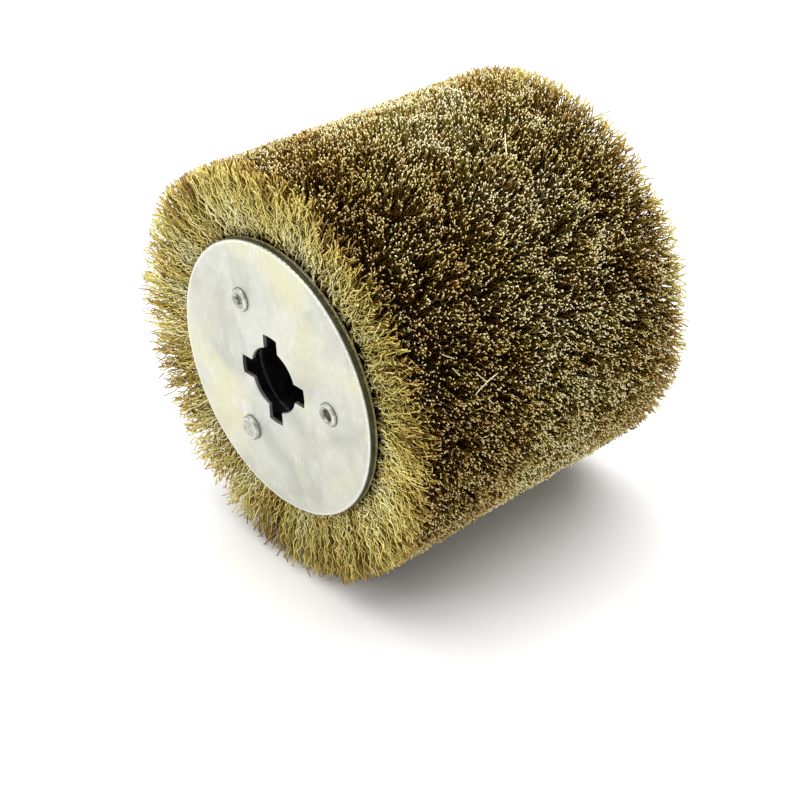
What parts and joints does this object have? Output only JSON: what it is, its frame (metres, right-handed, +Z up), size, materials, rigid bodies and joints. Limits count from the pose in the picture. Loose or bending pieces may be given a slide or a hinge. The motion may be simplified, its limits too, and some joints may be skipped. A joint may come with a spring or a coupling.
{
  "type": "wire drum brush",
  "caption": "Cylindrical drum brush of crimped brass-coated wire between two riveted steel end plates, with a keyed spindle bore.",
  "frame": {"origin": "centre of the drum, on its axis, halfway between the two end plates", "axes": "+Y along the drum's axis towards its rear end; the front end plate faces -Y; +Z up with the drum lying on its side"},
  "size_m": [0.12, 0.1038, 0.12],
  "materials": {
    "zinc_plate": "zinc-plated sheet, satin, faint yellow passivation",
    "black_plastic": "moulded, glossy",
    "rivet_steel": "zinc-plated, satin",
    "channel_steel": "plain rolled steel",
    "anchor_steel": "plain drawn steel wire",
    "brass_wire": "brass-coated crimped steel wire, bright"
  },
  "bodies": {
    "root": {"end_plate_front": "zinc_plate", "end_plate_rear": "zinc_plate", "core_flange_front": "black_plastic", "core_flange_rear": "black_plastic", "core_tube": "black_plastic", "spindle_sleeve": "black_plastic", "rivet_1": "rivet_steel", "rivet_2": "rivet_steel", "rivet_3": "rivet_steel", "channel_ring_1": "channel_steel", "channel_ring_2": "channel_steel", "channel_ring_3": "channel_steel", "channel_ring_4": "channel_steel", "channel_ring_5": "channel_steel", "channel_ring_6": "channel_steel", "channel_ring_7": "channel_steel", "anchor_wire_1": "anchor_steel", "anchor_wire_2": "anchor_steel", "anchor_wire_3": "anchor_steel", "anchor_wire_4": "anchor_steel", "anchor_wire_5": "anchor_steel", "anchor_wire_6": "anchor_steel", "anchor_wire_7": "anchor_steel", "bristle_section_1": "brass_wire", "bristle_section_2": "brass_wire", "bristle_section_3": "brass_wire", "bristle_section_4": "brass_wire", "bristle_section_5": "brass_wire", "bristle_section_6": "brass_wire", "bristle_section_7": "brass_wire"}
  },
  "joints": []
}
